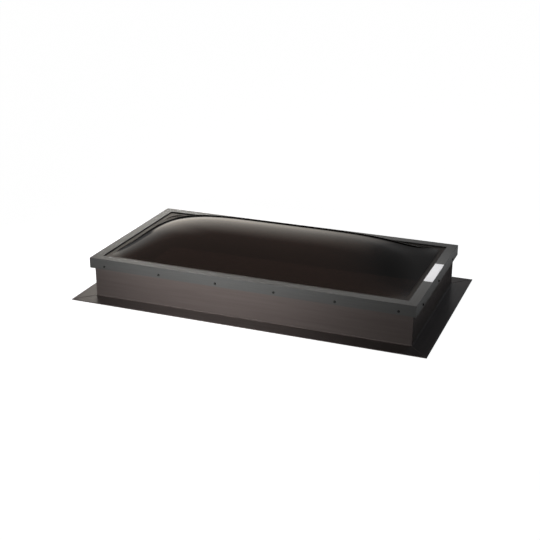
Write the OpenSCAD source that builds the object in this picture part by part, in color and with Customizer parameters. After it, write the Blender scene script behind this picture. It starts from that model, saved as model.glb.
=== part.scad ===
// Fixed self-flashing roof skylight: a welded hollow curb with a roof flange, a double acrylic dome and a
// screwed-on retainer frame. Millimetres. X runs along the long side, Y towards the back, Z up.
// The origin is in the middle of the roof flange's underside.

/* [Clear opening] */
// Clear length of the roof opening, along X
opening_l = 1181; // [700:1:2000]
// Clear width of the roof opening, along Y
opening_w = 572; // [420:1:1150]

/* [Curb extrusion] */
// Height of the glazing shelf above the roof deck
shelf_h = 139.5; // [90:0.5:240]
// Thickness of the whole hollow curb wall
wall_t = 22.5; // [14:0.5:36]
// Thickness of the curb's skins and inner webs
skin_t = 2.5; // [1.6:0.1:4]
// Number of chambers in the wall, one above the other
wall_chambers = 3; // [1:1:5]
// Reach of the roof flange beyond the curb wall
flange_w = 68.5; // [40:0.5:140]
// Thickness of the roof flange
flange_t = 3.2; // [2:0.1:6]
// Radius where the curb wall runs into the roof flange
foot_r = 4; // [1:0.5:10]
// Reach of the head beyond the curb wall
head_out = 11.5; // [9:0.5:24]
// Height of the head that carries the glazing
head_h = 19; // [15:0.5:30]
// Height of the stop at the shelf's outer edge
stop_h = 11; // [4:0.5:14]
// Thickness of that stop
stop_t = 2; // [1.5:0.1:4]
// Width of the weld ridge along each corner of the flange
weld_w = 3; // [1.5:0.1:6]
// Height of the weld ridge over the flange
weld_h = 0.8; // [0.3:0.1:2]

/* [Condensation gutter] */
// Reach of the gutter into the opening
gutter_w = 12; // [8:0.5:24]
// Outer height of the gutter's upstand
gutter_h = 13; // [6:0.5:18]
// Thickness of the gutter's floor and upstand
gutter_t = 2; // [1.4:0.1:3]
// Depth of the gutter's underside below the glazing shelf
gutter_drop = 27; // [20:0.5:50]

/* [Glazing] */
// Thickness of each acrylic sheet
sheet_t = 3; // [2:0.1:5]
// Flat margin between the retainer's inner edge and the foot of the domes
dome_margin = 16.5; // [8:0.5:40]
// Rise of the outer dome above its own flat edge
outer_rise = 99; // [90:1:160]
// Rise of the inner dome above its own flat edge
inner_rise = 86; // [20:1:98]
// Room for the sheets to grow, between their edge and the stop
sheet_gap = 1.5; // [0.5:0.1:4]
// Thickness of the tape that beds the inner sheet on the shelf
bed_t = 3; // [1.5:0.1:6]
// Thickness of the bar that keeps the two sheets apart
spacer_t = 6; // [3:0.5:16]
// Width of that spacer bar
spacer_w = 18; // [10:0.5:24]
// Thickness of the seal under the retainer's lip
seal_t = 2; // [1:0.1:4]
// Width by which the lip's seal shows inside the lip
seal_proud = 1.5; // [0.5:0.1:4]

/* [Retainer] */
// Thickness of the retainer's lip
lip_t = 2; // [1.2:0.1:4]
// Thickness of the retainer's skirt
skirt_t = 2; // [1.2:0.1:4]
// Height of the retainer's skirt
skirt_h = 40.5; // [34:0.5:60]
// Clearance between the skirt and the curb's head
skirt_gap = 0.3; // [0.2:0.1:1.5]
// Outside radius between the lip and the skirt
bend_r = 1.5; // [0.5:0.1:1.8]

/* [Screws] */
// Number of screws along each long side
screws_long = 6; // [2:1:12]
// Number of screws along each short side
screws_short = 3; // [2:1:8]
// Distance of the first screw from the retainer's corner, on the long sides
end_long = 62; // [40:0.5:150]
// Distance of the first screw from the retainer's corner, on the short sides
end_short = 90; // [40:0.5:150]
// Diameter of the screws' shank
screw_d = 4.2; // [3:0.1:5.5]
// Length of the screws under the head
screw_len = 22; // [18:0.5:40]
// Diameter of the screws' washer face
washer_d = 8.6; // [7:0.1:12]
// Thickness of the screws' washer face
washer_t = 1; // [0.6:0.1:2]
// Width of the screws' hexagon across its flats
hex_af = 6.35; // [5:0.05:7]
// Height of the screws' hexagon
hex_h = 3.2; // [2:0.1:5]
// Clearance on the diameter of the holes in the curb
pilot_gap = 0.2; // [0.1:0.1:1]
// Clearance on the diameter of the holes in the skirt
hole_gap = 1.3; // [0.5:0.1:2]

/* [Hidden] */
$fn = 48;

// Distances outward from the edge of the clear opening, called u below
flange_u = wall_t + flange_w;
head_u = wall_t + head_out;
glass_u = head_u - stop_t - sheet_gap;
skirt_in_u = head_u + skirt_gap;
skirt_u = skirt_in_u + skirt_t;
spacer_u = (glass_u - spacer_w) / 2;

// Heights of the glazing, from the shelf up to the top of the lip
inner_z = shelf_h + bed_t;
spacer_z = inner_z + sheet_t;
outer_z = spacer_z + spacer_t;
seal_z = outer_z + sheet_t;
lip_z = seal_z + seal_t;
top_z = lip_z + lip_t;
head_z = shelf_h - head_h;
gutter_z = shelf_h - gutter_drop;
screw_z = head_z + skin_t + (head_h - 2 * skin_t) / 2;

// Form of the domes: powers along X and Y, and the power that rounds off the foot
power_x = 5;
power_y = 1.82;
power_foot = 1.03;
// Cells of the domes' shells along X and Y
outer_cells = [44, 26];
inner_cells = [32, 18];

edge_cut = 0.8;
throat_r = 2;
tip_len = 4;
eps = 0.01;

BLACK_VINYL = [0.16, 0.14, 0.13];
BRONZE_METAL = [0.24, 0.23, 0.22];
BRONZE_ACRYLIC = [0.20, 0.13, 0.09, 0.75];
CLEAR_ACRYLIC = [0.85, 0.90, 0.92, 0.4];
SEAL_BLACK = [0.05, 0.05, 0.05];
SPACER_GREY = [0.35, 0.35, 0.34];
SCREW_DARK = [0.12, 0.11, 0.11];

// Each side is drawn at the front and turned into place
function turn(side) = side == "front" ? 0 : side == "right" ? 90 : side == "back" ? 180 : -90;
function is_long(side) = side == "front" || side == "back";
function run(side) = (is_long(side) ? opening_l : opening_w) / 2;
function reach(side) = (is_long(side) ? opening_w : opening_l) / 2;

// Points on an arc from one angle to another
function arc(centre, r, from, to, steps = 5) =
    [for (i = [0:steps]) centre + r * [cos(from + (to - from) * i / steps), sin(from + (to - from) * i / steps)]];

// Positions of the screws along one side
function screw_count(side) = is_long(side) ? screws_long : screws_short;
function screw_half(side) = run(side) + skirt_u - (is_long(side) ? end_long : end_short);
function screw_xs(side) =
    [for (i = [0:screw_count(side) - 1]) screw_half(side) * (2 * i / (screw_count(side) - 1) - 1)];

// A profile of u and z, run along the front side
module run_along(half_length, offset_y) {
    translate([0, -offset_y, 0])
        mirror([0, 1, 0])
            rotate([90, 0, 90])
                linear_extrude(height = 2 * half_length, center = true)
                    children();
}

// The plan of one side between its two 45 degree mitres
module mitre_plan(side, u0, u1) {
    a = run(side);
    b = reach(side);
    polygon([[-a - u0, -b - u0], [a + u0, -b - u0], [a + u1, -b - u1], [-a - u1, -b - u1]]);
}

// One mitred side with the profile given as its child, between two distances from the opening
module mitred(side, u0, u1) {
    rotate([0, 0, turn(side)])
        intersection() {
            run_along(run(side) + u1 + 1, reach(side)) children(0);
            translate([0, 0, -1])
                linear_extrude(height = top_z + 2)
                    mitre_plan(side, u0 - 1, u1 + 1);
        }
}

// A flat strip of the glazing, mitred at both ends
module strip(side, u0, u1, z0, z1) {
    mitred(side, u0, u1)
        polygon([[u0, z0], [u1, z0], [u1, z1], [u0, z1]]);
}

// Outline of the curb's extrusion: flange, wall, head, stop, shelf and gutter
function curb_outline() = concat(
    [[0, 0], [flange_u, 0], [flange_u, flange_t - edge_cut], [flange_u - edge_cut, flange_t]],
    arc([wall_t + foot_r, flange_t + foot_r], foot_r, 270, 180),
    arc([wall_t + throat_r, head_z - throat_r], throat_r, 180, 90),
    [[head_u, head_z], [head_u, shelf_h + stop_h], [head_u - stop_t, shelf_h + stop_h],
     [head_u - stop_t, shelf_h], [0, shelf_h]],
    [[0, gutter_z + gutter_t], [gutter_t - gutter_w, gutter_z + gutter_t],
     [gutter_t - gutter_w, gutter_z + gutter_h], [-gutter_w, gutter_z + gutter_h],
     [-gutter_w, gutter_z], [0, gutter_z]]
);

// One upright row of chambers between the two skins of the wall
module wall_voids() {
    cell_h = (head_z - flange_t - (wall_chambers - 1) * skin_t) / wall_chambers;
    for (i = [0:wall_chambers - 1])
        translate([skin_t, flange_t + i * (cell_h + skin_t)])
            square([wall_t - 2 * skin_t, cell_h]);
}

// The two chambers of the head: over the wall, and the outer one that takes the screws
module head_voids() {
    void_h = head_h - 2 * skin_t;
    translate([skin_t, head_z + skin_t])
        square([wall_t - 2 * skin_t, void_h]);
    translate([wall_t, head_z + skin_t])
        square([head_out - skin_t, void_h]);
}

module curb_profile() {
    difference() {
        polygon(curb_outline());
        wall_voids();
        head_voids();
    }
}

// The ridge that the corner weld leaves on the flange, along the mitre
module weld_ridge(side, end) {
    start = wall_t + foot_r;
    stop = flange_u - edge_cut;
    translate([end * run(side), -reach(side), flange_t])
        rotate([0, 0, end > 0 ? -45 : -135])
            translate([start * sqrt(2), 0, 0])
                rotate([90, 0, 90])
                    linear_extrude(height = (stop - start) * sqrt(2))
                        polygon([[-weld_w / 2, 0], [weld_w / 2, 0], [weld_w / 4, weld_h], [-weld_w / 4, weld_h]]);
}

// Bores for the screws of one side, from one distance to another
module screw_bores(side, d, u0, u1) {
    for (x = screw_xs(side))
        translate([x, -reach(side) - u0, screw_z])
            rotate([90, 0, 0])
                cylinder(h = u1 - u0, d = d);
}

// One length of the curb, with its half of the weld ridges and the holes for the screws
module curb_rail(side) {
    difference() {
        union() {
            mitred(side, -gutter_w, flange_u) curb_profile();
            rotate([0, 0, turn(side)])
                intersection() {
                    union() {
                        weld_ridge(side, 1);
                        weld_ridge(side, -1);
                    }
                    linear_extrude(height = flange_t + 2 * weld_h)
                        mitre_plan(side, 0, flange_u);
                }
        }
        rotate([0, 0, turn(side)])
            screw_bores(side, screw_d + pilot_gap, wall_t - skin_t - 1, head_u + 1);
    }
}

// One retainer angle: lip, rounded outer corner and skirt, with clearance holes for the screws
module retainer(side) {
    bend = [skirt_u - bend_r, top_z - bend_r];
    difference() {
        mitred(side, 0, skirt_u)
            polygon(concat(
                [[0, lip_z], [skirt_in_u, lip_z], [skirt_in_u, top_z - skirt_h], [skirt_u, top_z - skirt_h]],
                arc(bend, bend_r, 0, 90),
                [[0, top_z]]
            ));
        rotate([0, 0, turn(side)])
            screw_bores(side, screw_d + hole_gap, skirt_in_u - 1, skirt_u + 1);
    }
}

// Height of a dome over its flat edge: an arch along X times an arch across Y, zero outside its rounded foot
function swell(x, y, rise) =
    let (along = 1 - pow(abs(x) / (opening_l / 2 - dome_margin), power_x),
         across = 1 - pow(abs(y) / (opening_w / 2 - dome_margin), power_y))
    along > 0 && across > 0 ? rise * pow(along * across, power_foot) : 0;

// Grid lines across a dome, closer together towards its foot, with one more at the sheet's edge
function lines(half, cells) = concat(
    [-half - glass_u],
    [for (i = [0:cells]) (half - dome_margin) * sin(180 * i / cells - 90)],
    [half + glass_u]
);

// A dome with its flat edge, blown from one sheet: upper and lower skin over the same grid
module dome(z, rise, cells) {
    xs = lines(opening_l / 2, cells[0]);
    ys = lines(opening_w / 2, cells[1]);
    m = len(xs);
    n = len(ys);
    upper = [for (x = xs) for (y = ys) [x, y, z + sheet_t + swell(x, y, rise)]];
    lower = [for (x = xs) for (y = ys) [x, y, z + swell(x, y, rise)]];
    // Number of a point of the upper skin; the lower skin follows it
    below = m * n;
    top_faces = [for (i = [0:m - 2]) for (j = [0:n - 2]) for (f = [
        [i * n + j, i * n + j + 1, (i + 1) * n + j + 1],
        [i * n + j, (i + 1) * n + j + 1, (i + 1) * n + j]
    ]) f];
    low_faces = [for (f = top_faces) [f[2] + below, f[1] + below, f[0] + below]];
    rim = concat(
        [for (i = [0:m - 1]) i * n],
        [for (j = [1:n - 1]) (m - 1) * n + j],
        [for (i = [1:m - 1]) (m - 1 - i) * n + n - 1],
        [for (j = [1:n - 2]) n - 1 - j]
    );
    rim_faces = [for (k = [0:len(rim) - 1]) let (a = rim[k], b = rim[(k + 1) % len(rim)]) for (f = [
        [a, b, b + below],
        [a, b + below, a + below]
    ]) f];
    polyhedron(points = concat(upper, lower), faces = concat(top_faces, low_faces, rim_faces));
}

// One screw with a hexagon washer head, lying along u with its washer face at zero
module screw() {
    rotate([90, 0, 0]) {
        cylinder(h = washer_t, d = washer_d);
        translate([0, 0, washer_t - eps])
            cylinder(h = hex_h + eps, d = hex_af / cos(30), $fn = 6);
        translate([0, 0, tip_len - screw_len])
            cylinder(h = screw_len - tip_len + eps, d = screw_d);
        translate([0, 0, -screw_len])
            cylinder(h = tip_len, d1 = screw_d / 4, d2 = screw_d);
    }
}

module curb_rail_front() { color(BLACK_VINYL) curb_rail("front"); }
module curb_rail_right() { color(BLACK_VINYL) curb_rail("right"); }
module curb_rail_back() { color(BLACK_VINYL) curb_rail("back"); }
module curb_rail_left() { color(BLACK_VINYL) curb_rail("left"); }

// Tape that beds the inner sheet on the shelf
module bed_tape(side) { strip(side, 0, glass_u, shelf_h, inner_z); }
module bed_tape_front() { color(SEAL_BLACK) bed_tape("front"); }
module bed_tape_right() { color(SEAL_BLACK) bed_tape("right"); }
module bed_tape_back() { color(SEAL_BLACK) bed_tape("back"); }
module bed_tape_left() { color(SEAL_BLACK) bed_tape("left"); }

module inner_dome() { color(CLEAR_ACRYLIC) dome(inner_z, inner_rise, inner_cells); }

// Bar that keeps the two sheets apart
module spacer_bar(side) { strip(side, spacer_u, spacer_u + spacer_w, spacer_z, outer_z); }
module spacer_bar_front() { color(SPACER_GREY) spacer_bar("front"); }
module spacer_bar_right() { color(SPACER_GREY) spacer_bar("right"); }
module spacer_bar_back() { color(SPACER_GREY) spacer_bar("back"); }
module spacer_bar_left() { color(SPACER_GREY) spacer_bar("left"); }

module outer_dome() { color(BRONZE_ACRYLIC) dome(outer_z, outer_rise, outer_cells); }

// Seal between the outer sheet and the retainer's lip
module lip_seal(side) { strip(side, -seal_proud, glass_u, seal_z, lip_z); }
module lip_seal_front() { color(SEAL_BLACK) lip_seal("front"); }
module lip_seal_right() { color(SEAL_BLACK) lip_seal("right"); }
module lip_seal_back() { color(SEAL_BLACK) lip_seal("back"); }
module lip_seal_left() { color(SEAL_BLACK) lip_seal("left"); }

module retainer_front() { color(BRONZE_METAL) retainer("front"); }
module retainer_right() { color(BRONZE_METAL) retainer("right"); }
module retainer_back() { color(BRONZE_METAL) retainer("back"); }
module retainer_left() { color(BRONZE_METAL) retainer("left"); }

// All the screws through the skirts, pointing inward
module retainer_screws() {
    color(SCREW_DARK)
        for (side = ["front", "right", "back", "left"])
            rotate([0, 0, turn(side)])
                for (x = screw_xs(side))
                    translate([x, -reach(side) - skirt_u, screw_z])
                        screw();
}

curb_rail_front();
curb_rail_right();
curb_rail_back();
curb_rail_left();
bed_tape_front();
bed_tape_right();
bed_tape_back();
bed_tape_left();
inner_dome();
spacer_bar_front();
spacer_bar_right();
spacer_bar_back();
spacer_bar_left();
outer_dome();
lip_seal_front();
lip_seal_right();
lip_seal_back();
lip_seal_left();
retainer_front();
retainer_right();
retainer_back();
retainer_left();
retainer_screws();
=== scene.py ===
# %% [markdown]
# # A domed roof skylight
# The skylight is a welded vinyl curb with a flat roof flange, two blown acrylic domes and a metal
# retainer frame held by screws. The CAD model already has every solid at its true size, so this lesson
# loads it as a fixed frame and adds what a picture needs: smooth domes, a label, surface finishes,
# light and a camera.

# %% Load the CAD frame
import math

import bpy
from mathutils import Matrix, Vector


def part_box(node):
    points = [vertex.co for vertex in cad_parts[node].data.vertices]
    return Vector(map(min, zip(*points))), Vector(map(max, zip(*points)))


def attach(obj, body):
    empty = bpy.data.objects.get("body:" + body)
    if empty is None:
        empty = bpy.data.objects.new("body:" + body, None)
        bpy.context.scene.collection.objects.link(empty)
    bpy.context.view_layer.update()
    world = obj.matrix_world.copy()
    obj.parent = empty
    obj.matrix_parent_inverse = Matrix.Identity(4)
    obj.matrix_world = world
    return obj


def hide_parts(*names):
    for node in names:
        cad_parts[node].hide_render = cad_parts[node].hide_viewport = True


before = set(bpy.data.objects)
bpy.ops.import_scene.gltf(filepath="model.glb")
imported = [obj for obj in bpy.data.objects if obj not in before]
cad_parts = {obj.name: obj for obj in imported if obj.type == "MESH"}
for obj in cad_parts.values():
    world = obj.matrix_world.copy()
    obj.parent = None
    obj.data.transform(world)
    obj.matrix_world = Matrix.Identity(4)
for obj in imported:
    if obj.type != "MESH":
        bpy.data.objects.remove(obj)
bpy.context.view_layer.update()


# %% [markdown]
# ## Camera
# The photo's view was solved from the corners of the frame and the flange: about 22 degrees round to
# the right and 21 degrees up, four metres away. A long lens keeps the long sides almost parallel. A
# camera could be turned by three angles, but aiming it at a point is easier with a tracking rotation:
# its minus Z axis looks along the line and its Y axis stays up.

# %% Camera
CAMERA_PLACE = Vector((1.3531, -3.4804, 1.5406))
CAMERA_TARGET = Vector((-0.1017, 0.1858, -0.0008))
CAMERA_LENS = 69.77
CAMERA_SENSOR = 36.0
CAMERA_REACH = 100.0


def turn_towards(thing, place, aim):
    thing.location = place
    thing.rotation_euler = (Vector(aim) - Vector(place)).to_track_quat("-Z", "Y").to_euler()


camera_data = bpy.data.cameras.new("photo_camera")
camera_data.lens = CAMERA_LENS
camera_data.sensor_width = CAMERA_SENSOR
camera_data.clip_end = CAMERA_REACH
camera = bpy.data.objects.new("photo_camera", camera_data)
bpy.context.scene.collection.objects.link(camera)
turn_towards(camera, CAMERA_PLACE, CAMERA_TARGET)
bpy.context.scene.camera = camera
bpy.context.scene.view_settings.view_transform = "Standard"
print("camera distance:", round((CAMERA_TARGET - CAMERA_PLACE).length, 3), "m")

# %% [markdown]
# ## Starting a finish
# A finish is a Principled shader fed by a few textures. It could be wired by hand in the shader editor.
# In code, three helpers keep the cells short: one starts a material and hands back its node tree and
# its shader, one adds a node and sets its inputs by name, and one puts a finish on pieces of the CAD
# frame.

# %% Material helpers
def start_finish(name):
    finish = bpy.data.materials.new(name)
    finish.use_nodes = True
    tree = finish.node_tree
    return finish, tree, tree.nodes["Principled BSDF"]


def add_node(tree, kind, inputs=None, **settings):
    node = tree.nodes.new(kind)
    for key, value in settings.items():
        setattr(node, key, value)
    for key, value in (inputs or {}).items():
        node.inputs[key].default_value = value
    return node


def dress(node_names, finish):
    for name in node_names:
        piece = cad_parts[name]
        piece.data.materials.clear()
        piece.data.materials.append(finish)
    print(finish.name, "on", ", ".join(node_names))


print("CAD pieces to dress:", len(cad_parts))

# %% [markdown]
# ## Patterns
# No real surface has one flat tone. Noise gives each finish a small change of tone, of gloss or of
# height. It reads Object coordinates, which are metres here, so a scale of 100 means features of about
# a centimetre, and a pattern stays where it is on the piece from every side. A grain is written below
# as a pair: its scale and its detail.

# %% Pattern helpers
NOISE_ROUGHNESS = 0.55


def object_pattern(tree, stretch=(1.0, 1.0, 1.0)):
    """Object coordinates, stretched along one axis where a pattern runs with the material."""
    place = add_node(tree, "ShaderNodeTexCoord")
    mapping = add_node(tree, "ShaderNodeMapping", {"Scale": stretch})
    tree.links.new(place.outputs["Object"], mapping.inputs["Vector"])
    return mapping.outputs["Vector"]


def noise(tree, vector, scale, detail):
    sizes = {"Scale": scale, "Detail": detail, "Roughness": NOISE_ROUGHNESS}
    texture = add_node(tree, "ShaderNodeTexNoise", sizes)
    tree.links.new(vector, texture.inputs["Vector"])
    return texture.outputs["Fac"]


print("noise roughness:", NOISE_ROUGHNESS)

# %% [markdown]
# ## From a pattern to a finish
# A pattern is a number between 0 and 1. A colour ramp turns it into a tone between two colours, Map
# Range turns it into a span of roughness, and Bump turns it into fine relief. The same Map Range also
# blends along a coordinate, and then a smooth curve hides where the blend starts and ends. A relief is
# written below as a pair: its depth in metres and its strength.

# %% Ramp, blend and bump helpers
TONE_SPAN = (0.3, 0.7)


def ramp(tree, factor, tones, span=TONE_SPAN):
    node = add_node(tree, "ShaderNodeValToRGB")
    for element, position, tone in zip(node.color_ramp.elements, span, tones):
        element.position = position
        element.color = (*tone, 1.0)
    tree.links.new(factor, node.inputs["Fac"])
    return node.outputs["Color"]


def fade(tree, value, span, levels=(0.0, 1.0), curve="SMOOTHSTEP"):
    """Runs from the first level to the second while a value goes along its span."""
    ends = dict(zip(("From Min", "From Max", "To Min", "To Max"), (*span, *levels)))
    node = add_node(tree, "ShaderNodeMapRange", ends, interpolation_type=curve)
    tree.links.new(value, node.inputs["Value"])
    return node.outputs["Result"]


def spread(tree, pattern, levels):
    return fade(tree, pattern, (0.0, 1.0), levels, curve="LINEAR")


def bump(tree, shader, height, distance, strength):
    node = add_node(tree, "ShaderNodeBump", {"Distance": distance, "Strength": strength})
    tree.links.new(height, node.inputs["Height"])
    tree.links.new(node.outputs["Normal"], shader.inputs["Normal"])


print("tones change over", TONE_SPAN, "of a pattern")

# %% [markdown]
# ## Vinyl curb
# The curb is dark brown rigid vinyl, pushed through a die. Such an extrusion is satin, with faint lines
# along its length and a slow change of tone. Noise that is stretched along the run gives those lines
# without any picture. The long and the short rails run along different axes, so the same recipe is made
# twice with the stretch turned.

# %% Vinyl finish
RUNS = {"X": ("front", "back"), "Y": ("left", "right")}
PLASTIC_IOR = 1.5
VINYL_TONES = ((0.094, 0.077, 0.072), (0.116, 0.097, 0.091))
VINYL_ALONG, VINYL_ACROSS = 0.35, 9.0
VINYL_STREAKS = (9.0, 5.0)
VINYL_GRAIN = (420.0, 2.0)
VINYL_ROUGH = (0.26, 0.36)
VINYL_RELIEF = (0.0004, 0.35)


def stretch_along(run, along, across):
    return tuple(along if axis == run else across for axis in "XYZ")


def vinyl(name, stretch):
    finish, tree, shader = start_finish(name)
    streaks = noise(tree, object_pattern(tree, stretch), *VINYL_STREAKS)
    grain = noise(tree, object_pattern(tree), *VINYL_GRAIN)
    tree.links.new(ramp(tree, streaks, VINYL_TONES), shader.inputs["Base Color"])
    tree.links.new(spread(tree, grain, VINYL_ROUGH), shader.inputs["Roughness"])
    bump(tree, shader, streaks, *VINYL_RELIEF)
    shader.inputs["IOR"].default_value = PLASTIC_IOR
    return finish


for run, sides in RUNS.items():
    finish = vinyl(f"curb_vinyl_along_{run.lower()}", stretch_along(run, VINYL_ALONG, VINYL_ACROSS))
    dress([f"curb_rail_{side}" for side in sides], finish)

# %% [markdown]
# ## Retainer frame
# The four angles are aluminium, anodised to a dark grey. The dyed oxide hides the bright metal, so it
# is shaded as a dark satin skin and not as a metal: the lips take their tone from what they mirror at a
# low angle, and the skirts, seen square on, show their own grey. Very fine lines run along each length
# from the extrusion below, and a fine etch breaks up the gloss.

# %% Anodised metal finish
ANODISED_TONES = ((0.080, 0.080, 0.078), (0.094, 0.094, 0.092))
ANODISED_ALONG, ANODISED_ACROSS = 0.25, 12.0
ANODISED_LINES = (24.0, 6.0)
ANODISED_ETCH = (650.0, 1.0)
ANODISED_ROUGH = (0.38, 0.48)
ANODISED_RELIEF = (0.0002, 0.25)
OXIDE_IOR = 1.5


def anodised(name, stretch):
    finish, tree, shader = start_finish(name)
    lines = noise(tree, object_pattern(tree, stretch), *ANODISED_LINES)
    etch = noise(tree, object_pattern(tree), *ANODISED_ETCH)
    tree.links.new(ramp(tree, lines, ANODISED_TONES), shader.inputs["Base Color"])
    tree.links.new(spread(tree, etch, ANODISED_ROUGH), shader.inputs["Roughness"])
    bump(tree, shader, etch, *ANODISED_RELIEF)
    shader.inputs["IOR"].default_value = OXIDE_IOR
    return finish


for run, sides in RUNS.items():
    stretch = stretch_along(run, ANODISED_ALONG, ANODISED_ACROSS)
    finish = anodised(f"retainer_anodised_along_{run.lower()}", stretch)
    dress([f"retainer_{side}" for side in sides], finish)

# %% [markdown]
# ## Seals and bedding tape
# The seals and the bedding tape are black rubber: very dark, rough and slightly grainy. They are hardly
# seen, so one grain is enough, which varies the tone, the gloss and the relief together. A helper makes
# such a finish, because the spacer bars, the screws and the label need the same start.

# %% Rubber finish
SIDES = ("front", "right", "back", "left")
RUBBER_TONES = ((0.008, 0.008, 0.008), (0.020, 0.020, 0.020))
RUBBER_GRAIN = (300.0, 3.0)
RUBBER_ROUGH = (0.6, 0.8)
RUBBER_RELIEF = (0.0003, 0.4)


def grained(name, grain, tones, rough, span=TONE_SPAN):
    """One grain that varies tone and gloss; the tree, shader and grain come back for a bump."""
    finish, tree, shader = start_finish(name)
    pattern = noise(tree, object_pattern(tree), *grain)
    tree.links.new(ramp(tree, pattern, tones, span), shader.inputs["Base Color"])
    tree.links.new(spread(tree, pattern, rough), shader.inputs["Roughness"])
    return finish, (tree, shader, pattern)


rubber, rubber_nodes = grained("seal_black", RUBBER_GRAIN, RUBBER_TONES, RUBBER_ROUGH)
bump(*rubber_nodes, *RUBBER_RELIEF)
dress([f"{part}_{side}" for part in ("bed_tape", "lip_seal") for side in SIDES], rubber)

# %% [markdown]
# ## Spacer bars and screws
# The spacer bars are grey plastic with a soft mottle. The screws are dark coated steel, a little
# glossier, with the coating rubbed thin in places: their ramp starts late, so that only the peaks of
# the noise turn pale.

# %% Spacer and screw finishes
SPACER_TONES = ((0.09, 0.09, 0.09), (0.13, 0.13, 0.13))
SPACER_MOTTLE = (60.0, 4.0)
SPACER_ROUGH = (0.45, 0.6)
SCREW_TONES = ((0.012, 0.012, 0.012), (0.05, 0.048, 0.045))
SCREW_RUB = (500.0, 3.0)
SCREW_ROUGH = (0.3, 0.55)
SCREW_SPAN = (0.45, 0.75)

spacer, _ = grained("spacer_grey", SPACER_MOTTLE, SPACER_TONES, SPACER_ROUGH)
dress([f"spacer_bar_{side}" for side in SIDES], spacer)
screw_coat, _ = grained("screw_coat", SCREW_RUB, SCREW_TONES, SCREW_ROUGH, SCREW_SPAN)
dress(["retainer_screws"], screw_coat)

# %% [markdown]
# ## Form of the domes
# Each dome is one sheet of acrylic, heated and blown, with a flat edge that the frame grips. A polished
# sheet shows every facet in its reflections, so the CAD shells are replaced by finer ones. They follow
# the same formula as the CAD model's: a swell that is flat along the middle of the long side and round
# across it. The grid's lines lie closer towards the dome's foot, where the sheet bends most. One more
# line just outside the foot keeps the smooth shading of the bend off the flat edge.

# %% Dome formula
SHEET_T = 0.003
FOOT_BEND = 0.003
DOME_MARGIN = 0.0165
OPENING_HALF = (0.5905, 0.286)
DOME_HALF = tuple(half - DOME_MARGIN for half in OPENING_HALF)
POWER_X, POWER_Y, POWER_FOOT = 5.0, 1.82, 1.03
EDGE_LINES = 2


def swell(x, y, rise):
    along = 1.0 - (abs(x) / DOME_HALF[0]) ** POWER_X
    across = 1.0 - (abs(y) / DOME_HALF[1]) ** POWER_Y
    return rise * (along * across) ** POWER_FOOT if min(along, across) > 0.0 else 0.0


def grid_line(share, cells, half, edge):
    """Moves a grid line from its even place, -1 to 1, to its place on the sheet."""
    number = round((share + 1.0) / 2.0 * cells)
    if number in (0, cells):
        return math.copysign(edge, share)
    if number in (1, cells - 1):
        return math.copysign(half + FOOT_BEND, share)
    return half * math.sin(math.pi * ((number - EDGE_LINES) / (cells - 2 * EDGE_LINES) - 0.5))


print("dome foot:", [round(2.0 * half, 4) for half in DOME_HALF], "m")

# %% [markdown]
# ## Dome shells
# A grid is added, its points are moved to the formula, and Solidify gives the sheet its thickness. The
# move is done in code, because no edit-mode operator follows such a formula. The thickness is measured
# upright, as in the CAD model, so Solidify's even offset stays off.

# %% Dome shells
OUTER_RISE, INNER_RISE = 0.099, 0.086
OUTER_CELLS, INNER_CELLS = (220, 120), (140, 80)
SMOOTH_ANGLE = math.radians(60.0)


def blown_sheet(name, node, rise, cells):
    low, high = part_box(node)
    bpy.ops.object.select_all(action="DESELECT")
    bpy.ops.mesh.primitive_grid_add(x_subdivisions=cells[0], y_subdivisions=cells[1], size=2.0)
    sheet = bpy.context.object
    sheet.name = name
    for point in sheet.data.vertices:
        x = grid_line(point.co.x, cells[0], DOME_HALF[0], high[0])
        y = grid_line(point.co.y, cells[1], DOME_HALF[1], high[1])
        point.co = (x, y, low[2] + SHEET_T + swell(x, y, rise))
    bpy.ops.object.modifier_add(type="SOLIDIFY")
    wall = sheet.modifiers[-1]
    wall.thickness = SHEET_T
    wall.offset = -1.0
    wall.use_even_offset = False
    bpy.ops.object.modifier_apply(modifier=wall.name)
    bpy.ops.object.shade_smooth_by_angle(angle=SMOOTH_ANGLE)
    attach(sheet, "root")
    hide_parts(node)
    return sheet


outer_sheet = blown_sheet("bronze_dome", "outer_dome", OUTER_RISE, OUTER_CELLS)
inner_sheet = blown_sheet("clear_dome", "inner_dome", INNER_RISE, INNER_CELLS)
print("domes:", len(outer_sheet.data.polygons), "and", len(inner_sheet.data.polygons), "faces")

# %% [markdown]
# ## Acrylic finishes
# Acrylic bends light a little less than glass. The outer sheet is bronze all through, so the tint is
# the colour of the transmitted light, and it is paler at the crown, where blowing thinned the sheet. A
# faint haze of handling marks keeps the gloss from looking computed, and the flat edge that the frame
# grips is rubbed dull. Height tells crown, foot and edge apart, so both blends read the Z of the Object
# coordinates.

# %% Helpers for place and number
def axes_of(tree, coordinates="Object"):
    place = add_node(tree, "ShaderNodeTexCoord")
    split = add_node(tree, "ShaderNodeSeparateXYZ")
    tree.links.new(place.outputs[coordinates], split.inputs["Vector"])
    return split.outputs


def feed(tree, socket, value):
    """Sets a socket to a number or a colour, or links another node's output to it."""
    if isinstance(value, bpy.types.NodeSocket):
        tree.links.new(value, socket)
    else:
        socket.default_value = value


def combine(tree, operation, first, second):
    """A Math node on two outputs, or on an output and a number."""
    node = add_node(tree, "ShaderNodeMath", operation=operation)
    feed(tree, node.inputs[0], first)
    feed(tree, node.inputs[1], second)
    return node.outputs["Value"]


# %% Bronze and clear acrylic
BRONZE_TONES = ((0.056, 0.027, 0.021), (0.070, 0.034, 0.027))
CLEAR_TONES = ((0.86, 0.90, 0.90), (0.93, 0.95, 0.95))
HANDLING_MARKS = (7.0, 6.0)
MARK_ROUGH = (0.015, 0.05)
CLAMP_EDGE, CLAMP_DULL = 0.003, 0.42
ACRYLIC_IOR = 1.49


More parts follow.
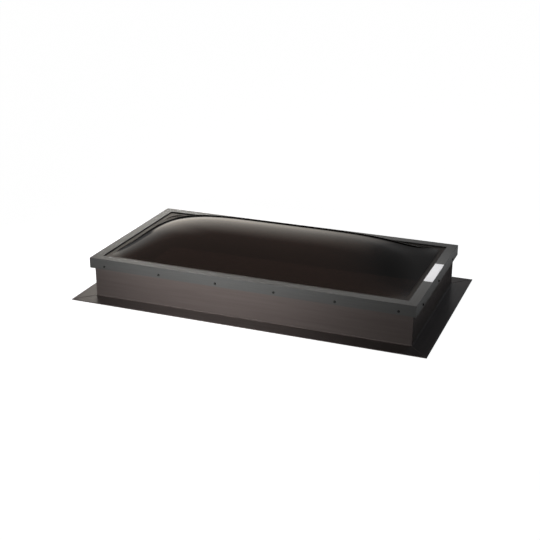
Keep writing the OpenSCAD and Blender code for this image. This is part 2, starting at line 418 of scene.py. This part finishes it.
def acrylic(name, tones, node, rise):
    finish, tree, shader = start_finish(name)
    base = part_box(node)[0][2]
    flat = base + SHEET_T
    height = axes_of(tree)["Z"]
    swelling = fade(tree, height, (base, base + rise), curve="LINEAR")
    tree.links.new(ramp(tree, swelling, tones, (0.0, 1.0)), shader.inputs["Base Color"])
    haze = spread(tree, noise(tree, object_pattern(tree), *HANDLING_MARKS), MARK_ROUGH)
    clamped = fade(tree, height, (flat + CLAMP_EDGE, flat), (0.0, CLAMP_DULL), curve="LINEAR")
    tree.links.new(combine(tree, "MAXIMUM", haze, clamped), shader.inputs["Roughness"])
    shader.inputs["IOR"].default_value = ACRYLIC_IOR
    shader.inputs["Transmission Weight"].default_value = 1.0
    return finish


bronze = acrylic("bronze_acrylic", BRONZE_TONES, "outer_dome", OUTER_RISE)
clear = acrylic("clear_acrylic", CLEAR_TONES, "inner_dome", INNER_RISE)
outer_sheet.data.materials.append(bronze)
inner_sheet.data.materials.append(clear)
print(bronze.name, "and", clear.name, "on the domes")

# %% [markdown]
# ## Label
# A white sticker lies on the lip of the right-hand retainer, almost as wide as the lip, and is left
# blank. It could be a patch in the lip's material, but a real sticker has an edge that catches light.
# So it is a plane, its corners rounded by a vertex bevel, with a paper's thickness from an extrusion
# and a border from an inset.

# %% Label sticker
LABEL_MIDDLE = (0.6079, 0.0)
LABEL_SIZE = (0.0330, 0.1830)
LABEL_T = 0.0002
LABEL_CORNER, CORNER_STEPS = 0.003, 5
LABEL_BORDER = 0.003

lip_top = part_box("retainer_right")[1][2]
bpy.ops.object.select_all(action="DESELECT")
bpy.ops.mesh.primitive_plane_add(size=1.0)
label = bpy.context.object
label.name = "blank_label"
bpy.ops.object.mode_set(mode="EDIT")
bpy.ops.mesh.select_all(action="SELECT")
bpy.ops.transform.resize(value=(*LABEL_SIZE, 1.0))
bpy.ops.transform.translate(value=(*LABEL_MIDDLE, lip_top))
bpy.ops.mesh.bevel(offset=LABEL_CORNER, segments=CORNER_STEPS, affect="VERTICES")
bpy.ops.mesh.select_all(action="SELECT")
bpy.ops.mesh.extrude_region_move(TRANSFORM_OT_translate={"value": (0.0, 0.0, LABEL_T)})
bpy.ops.mesh.inset(thickness=LABEL_BORDER)
bpy.ops.mesh.select_all(action="SELECT")
bpy.ops.mesh.normals_make_consistent(inside=False)
bpy.ops.object.mode_set(mode="OBJECT")
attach(label, "root")
print("label faces:", len(label.data.polygons))

# %% [markdown]
# ## Label paper
# The sticker is coated paper, nearly white and half matt, with a faint fleck of fibres. White paper
# sends back less than nine tenths of the light, and its colour stays below that, so that it doesn't
# burn out.

# %% Paper finish
PAPER_TONES = ((0.83, 0.81, 0.81), (0.89, 0.88, 0.88))
PAPER_FLECK = (180.0, 4.0)
PAPER_ROUGH = (0.4, 0.55)
PAPER_SPAN = (0.2, 0.8)

paper, _ = grained("label_paper", PAPER_FLECK, PAPER_TONES, PAPER_ROUGH, PAPER_SPAN)
label.data.materials.append(paper)
print(paper.name, "on", label.name)

# %% [markdown]
# ## Floor
# The skylight stands on a plain pale floor that fills the view: one large plane, set a hair below the
# flange so that the two faces don't fight. Strong lamps could make it white, but they would pour light
# onto a dark object. So the floor is matt and has a glow that only some rays see, which a Light Path
# node tells apart. The camera sees white, and still sees the floor darken where the object shades it.
# The domes mirror a dark floor behind the object. Gloss sees it glow in front of the curb and at the
# right end, more so towards the back, and rays that went through a sheet see a faint glow.

# %% Floor plane
FLOOR_HALF = 30.0
FLOOR_DROP = 0.0006

bpy.ops.object.select_all(action="DESELECT")
bpy.ops.mesh.primitive_plane_add(size=2.0 * FLOOR_HALF, location=(0.0, 0.0, -FLOOR_DROP))
floor = bpy.context.object
floor.name = "studio_floor"
print("floor", 2.0 * FLOOR_HALF, "m square")

# %% Floor glow
CAMERA_GLOW = 0.985
FRONT_GLOW, FRONT_Y = 0.25, (-0.45, -0.9)
RIGHT_GLOW, RIGHT_X, RIGHT_Y = (0.50, 0.85), (0.73, 0.80), (0.15, 0.55)
GLASS_GLOW = 0.08


def start_glow(kind, name):
    """A material or a world with an empty node tree, for what belongs to the studio."""
    glow = kind.new(name)
    glow.use_nodes = True
    glow.node_tree.nodes.clear()
    return glow, glow.node_tree


white_floor, tree = start_glow(bpy.data.materials, "white_floor")
rays = add_node(tree, "ShaderNodeLightPath").outputs
axes = axes_of(tree)
front = fade(tree, axes["Y"], FRONT_Y, (0.0, FRONT_GLOW))
beside = fade(tree, axes["X"], RIGHT_X)
right = combine(tree, "MULTIPLY", beside, fade(tree, axes["Y"], RIGHT_Y, RIGHT_GLOW))
around = combine(tree, "MAXIMUM", front, right)
to_camera = combine(tree, "MULTIPLY", rays["Is Camera Ray"], CAMERA_GLOW)
to_gloss = combine(tree, "MULTIPLY", rays["Is Glossy Ray"], around)
to_glass = combine(tree, "MULTIPLY", rays["Is Transmission Ray"], GLASS_GLOW)
glow = combine(tree, "ADD", to_camera, combine(tree, "MAXIMUM", to_gloss, to_glass))
print("floor glow for the camera:", CAMERA_GLOW)

# %% [markdown]
# ## Floor paint
# The matt part of the floor is a mid grey, which takes the shadow, and it is almost black where gloss
# sees it. A plain emission can't take a shadow and a plain paint can't glow, so an Add Shader lays the
# glow over the matt paint.

# %% Floor paint
FLOOR_PALE = (0.4, 0.4, 0.4, 1.0)
FLOOR_MIRRORED = (0.03, 0.03, 0.03, 1.0)
MIX_SOCKETS = {"FLOAT": (0, 2, 3, 0), "RGBA": (0, 6, 7, 2)}


def mix(tree, kind, factor, first, second):
    """Blends two numbers or two colours; a Mix node's sockets share names, so they go by number."""
    node = add_node(tree, "ShaderNodeMix", data_type=kind)
    *inputs, result = MIX_SOCKETS[kind]
    for number, value in zip(inputs, (factor, first, second)):
        feed(tree, node.inputs[number], value)
    return node.outputs[result]


matt = add_node(tree, "ShaderNodeBsdfDiffuse")
paint = mix(tree, "RGBA", rays["Is Glossy Ray"], FLOOR_PALE, FLOOR_MIRRORED)
tree.links.new(paint, matt.inputs["Color"])
shine = add_node(tree, "ShaderNodeEmission")
tree.links.new(glow, shine.inputs["Strength"])
both = add_node(tree, "ShaderNodeAddShader")
tree.links.new(matt.outputs["BSDF"], both.inputs[0])
tree.links.new(shine.outputs["Emission"], both.inputs[1])
out = add_node(tree, "ShaderNodeOutputMaterial")
tree.links.new(both.outputs["Shader"], out.inputs["Surface"])
floor.data.materials.append(white_floor)
print(white_floor.name, "on", floor.name)

# %% [markdown]
# ## Bright card
# Gloss needs something to mirror. A tall warm card stands behind the skylight, as a photographer's
# reflector would, so that the lips and the dome take a soft pale edge at the left and stay dark on the
# right. It is a plane that the camera doesn't see, and that lights nothing matt.

# %% Card plane
CARD_X = (-3.4, 0.6)
CARD_Y = 1.5
CARD_TOP = 3.6

bpy.ops.object.select_all(action="DESELECT")
bpy.ops.mesh.primitive_plane_add(size=1.0)
card = bpy.context.object
card.name = "bright_card"
bpy.ops.object.mode_set(mode="EDIT")
bpy.ops.mesh.select_all(action="SELECT")
bpy.ops.transform.rotate(value=math.radians(90.0), orient_axis="X", center_override=(0.0, 0.0, 0.0))
bpy.ops.transform.resize(value=(CARD_X[1] - CARD_X[0], 1.0, CARD_TOP))
bpy.ops.transform.translate(value=(sum(CARD_X) / 2.0, CARD_Y, CARD_TOP / 2.0))
bpy.ops.object.mode_set(mode="OBJECT")
card.visible_camera = False
card.visible_diffuse = False
card.visible_shadow = False
print("card from x", CARD_X[0], "to", CARD_X[1], "m, top", CARD_TOP, "m")

# %% [markdown]
# ## Shape of the card's glow
# A card with a hard edge would draw a hard line on the dome. So the card is see-through where its share
# is 0 and glows fully where it is 1, and the share fades at every side. Towards the right it falls to
# nothing, and at the far left to a small part. The foot is soft. It is lifted at the left and stepped
# up at the far left, where the dome's corner stays dark, and the soft top reaches higher there.

# %% Card share
CARD_SIDE_X = (0.28, -1.37)
FAR_X, FAR_SHARE = (-1.2, -2.2), 0.16
CARD_FOOT = (0.20, 0.40)
LIFT_X, CARD_LIFT = (-0.8, -1.3), 0.10
STEP_X, CARD_STEP = (-1.7, -1.95), 0.35
FADE_TOP = 2.6
TALL_X, CARD_TALLER = (-1.4, -1.9), 0.6

card_glow, tree = start_glow(bpy.data.materials, "card_glow")
axes = axes_of(tree)
side = fade(tree, axes["X"], CARD_SIDE_X, curve="LINEAR")
far = fade(tree, axes["X"], FAR_X, (1.0, FAR_SHARE))
across = combine(tree, "MULTIPLY", side, far)
lifted = combine(tree, "SUBTRACT", axes["Z"], fade(tree, axes["X"], LIFT_X, (0.0, CARD_LIFT)))
stepped = combine(tree, "SUBTRACT", lifted, fade(tree, axes["X"], STEP_X, (0.0, CARD_STEP)))
foot = fade(tree, stepped, CARD_FOOT)
lowered = combine(tree, "SUBTRACT", axes["Z"], fade(tree, axes["X"], TALL_X, (0.0, CARD_TALLER)))
top = fade(tree, lowered, (CARD_FOOT[1], FADE_TOP), (1.0, 0.0))
share = combine(tree, "MULTIPLY", across, combine(tree, "MULTIPLY", foot, top))
print("card fades across x", CARD_SIDE_X, "and up to", FADE_TOP, "m")

# %% Card glow
CARD_WARM = (1.0, 0.94, 0.84, 1.0)
CARD_LEVEL = 1.95

shine = add_node(tree, "ShaderNodeEmission", {"Color": CARD_WARM, "Strength": CARD_LEVEL})
see_through = add_node(tree, "ShaderNodeBsdfTransparent")
both = add_node(tree, "ShaderNodeMixShader")
tree.links.new(share, both.inputs["Fac"])
tree.links.new(see_through.outputs["BSDF"], both.inputs[1])
tree.links.new(shine.outputs["Emission"], both.inputs[2])
out = add_node(tree, "ShaderNodeOutputMaterial")
tree.links.new(both.outputs["Shader"], out.inputs["Surface"])
card.data.materials.append(card_glow)
print(card_glow.name, "at level", CARD_LEVEL)

# %% [markdown]
# ## Room
# The rest of what the skylight mirrors is the room, which is a world colour here. It is white for the
# camera and dim for the light that falls on matt faces. Gloss and glass see it grow from the horizon
# upwards, dimmer to the right, with a warm ceiling at the left and a soft low band in front and at the
# sides. A Texture Coordinate's Generated output points along the ray in a world shader, so its Z is the
# height and its X the side.

# %% Room level
CAMERA_WHITE = 1.0
ROOM_FILL = 0.03
ROOM_RISE, HORIZON_Z = (0.08, 0.32), (0.0, 0.35)
ROOM_SIDE_X, ROOM_RIGHT = (-0.36, 0.15), 0.36
BAND_LEVEL, BAND_Y = 0.5, (0.7, 0.3)
BAND_LOW_Z, BAND_HIGH_Z = (0.03, 0.2), (0.6, 0.35)

room, tree = start_glow(bpy.data.worlds, "studio_room")
bpy.context.scene.world = room
rays = add_node(tree, "ShaderNodeLightPath").outputs
along = axes_of(tree, "Generated")
mirrored = combine(tree, "MAXIMUM", rays["Is Glossy Ray"], rays["Is Transmission Ray"])
rising = fade(tree, along["Z"], HORIZON_Z, ROOM_RISE)
leaning = combine(tree, "MULTIPLY", rising, fade(tree, along["X"], ROOM_SIDE_X, (1.0, ROOM_RIGHT)))
over_low = fade(tree, along["Z"], BAND_LOW_Z)
low_band = combine(tree, "MULTIPLY", over_low, fade(tree, along["Z"], BAND_HIGH_Z))
band = combine(tree, "MULTIPLY", low_band, fade(tree, along["Y"], BAND_Y, (0.0, BAND_LEVEL)))
dim = mix(tree, "FLOAT", mirrored, ROOM_FILL, combine(tree, "ADD", leaning, band))
level = mix(tree, "FLOAT", rays["Is Camera Ray"], dim, CAMERA_WHITE)
print("room fill:", ROOM_FILL)

# %% Room tone
ROOM_WHITE = (1.0, 1.0, 1.0, 1.0)
ROOM_WARM = (1.0, 0.76, 0.66, 1.0)
WARM_Z = (0.4, 0.7)

ceiling = combine(tree, "MULTIPLY", mirrored, fade(tree, along["Z"], WARM_Z))
warm = combine(tree, "MULTIPLY", ceiling, fade(tree, along["X"], ROOM_SIDE_X, (1.0, 0.0)))
back = add_node(tree, "ShaderNodeBackground")
tree.links.new(mix(tree, "RGBA", warm, ROOM_WHITE, ROOM_WARM), back.inputs["Color"])
tree.links.new(level, back.inputs["Strength"])
out = add_node(tree, "ShaderNodeOutputWorld")
tree.links.new(back.outputs["Background"], out.inputs["Surface"])
print("world:", bpy.context.scene.world.name)

# %% [markdown]
# ## Lamps
# Six soft lamps light the matt faces, as softboxes would. Mirrored lamps would show as bright patches
# on the dome, so gloss, glass and the camera don't see them, and a narrow cone keeps each to its place.
# One stands close in front, left of the middle, so that the front wall falls off towards both ends, and
# a wide low one fills the rest of the front. One lights the left end, one the lips, a weak cool one the
# right end, and a small one the label.

# %% Lamps
DAYLIGHT = (0.62, 0.80, 1.0)
NEUTRAL = (1.0, 1.0, 1.0)


def soft_lamp(name, place, aim, size, watts, cone, tone=NEUTRAL):
    light = bpy.data.lights.new(name, "AREA")
    light.shape = "RECTANGLE"
    light.size, light.size_y = size
    light.energy = watts
    light.spread = math.radians(cone)
    light.color = tone
    lamp = bpy.data.objects.new(name, light)
    bpy.context.scene.collection.objects.link(lamp)
    turn_towards(lamp, place, aim)
    lamp.visible_camera = False
    lamp.visible_glossy = False
    lamp.visible_transmission = False
    return lamp


lamps = (
    soft_lamp("front_lamp", place=(-0.15, -1.5, 0.50), aim=(-0.15, -0.31, 0.42),
              size=(0.46, 0.30), watts=3.25, cone=62.0),
    soft_lamp("front_fill", place=(0.1, -4.0, 0.13), aim=(0.0, -0.3, 0.1),
              size=(2.0, 0.2), watts=4.5, cone=60.0),
    soft_lamp("left_lamp", place=(-1.0, 0.9, 0.75), aim=(-0.45, 0.0, 0.15),
              size=(0.3, 0.3), watts=3.2, cone=90.0),
    soft_lamp("lip_lamp", place=(-0.2, 0.8, 1.0), aim=(-0.3, -0.1, 0.15),
              size=(0.3, 0.3), watts=3.2, cone=90.0),
    soft_lamp("right_lamp", place=(1.05, 1.05, 1.5), aim=(0.66, 0.1, 0.05),
              size=(0.4, 0.4), watts=0.75, cone=90.0, tone=DAYLIGHT),
    soft_lamp("label_lamp", place=(0.25, 0.0, 0.95), aim=(0.608, 0.0, 0.158),
              size=(0.12, 0.12), watts=1.1, cone=80.0),
)
print("lamps:", [lamp.name for lamp in lamps])
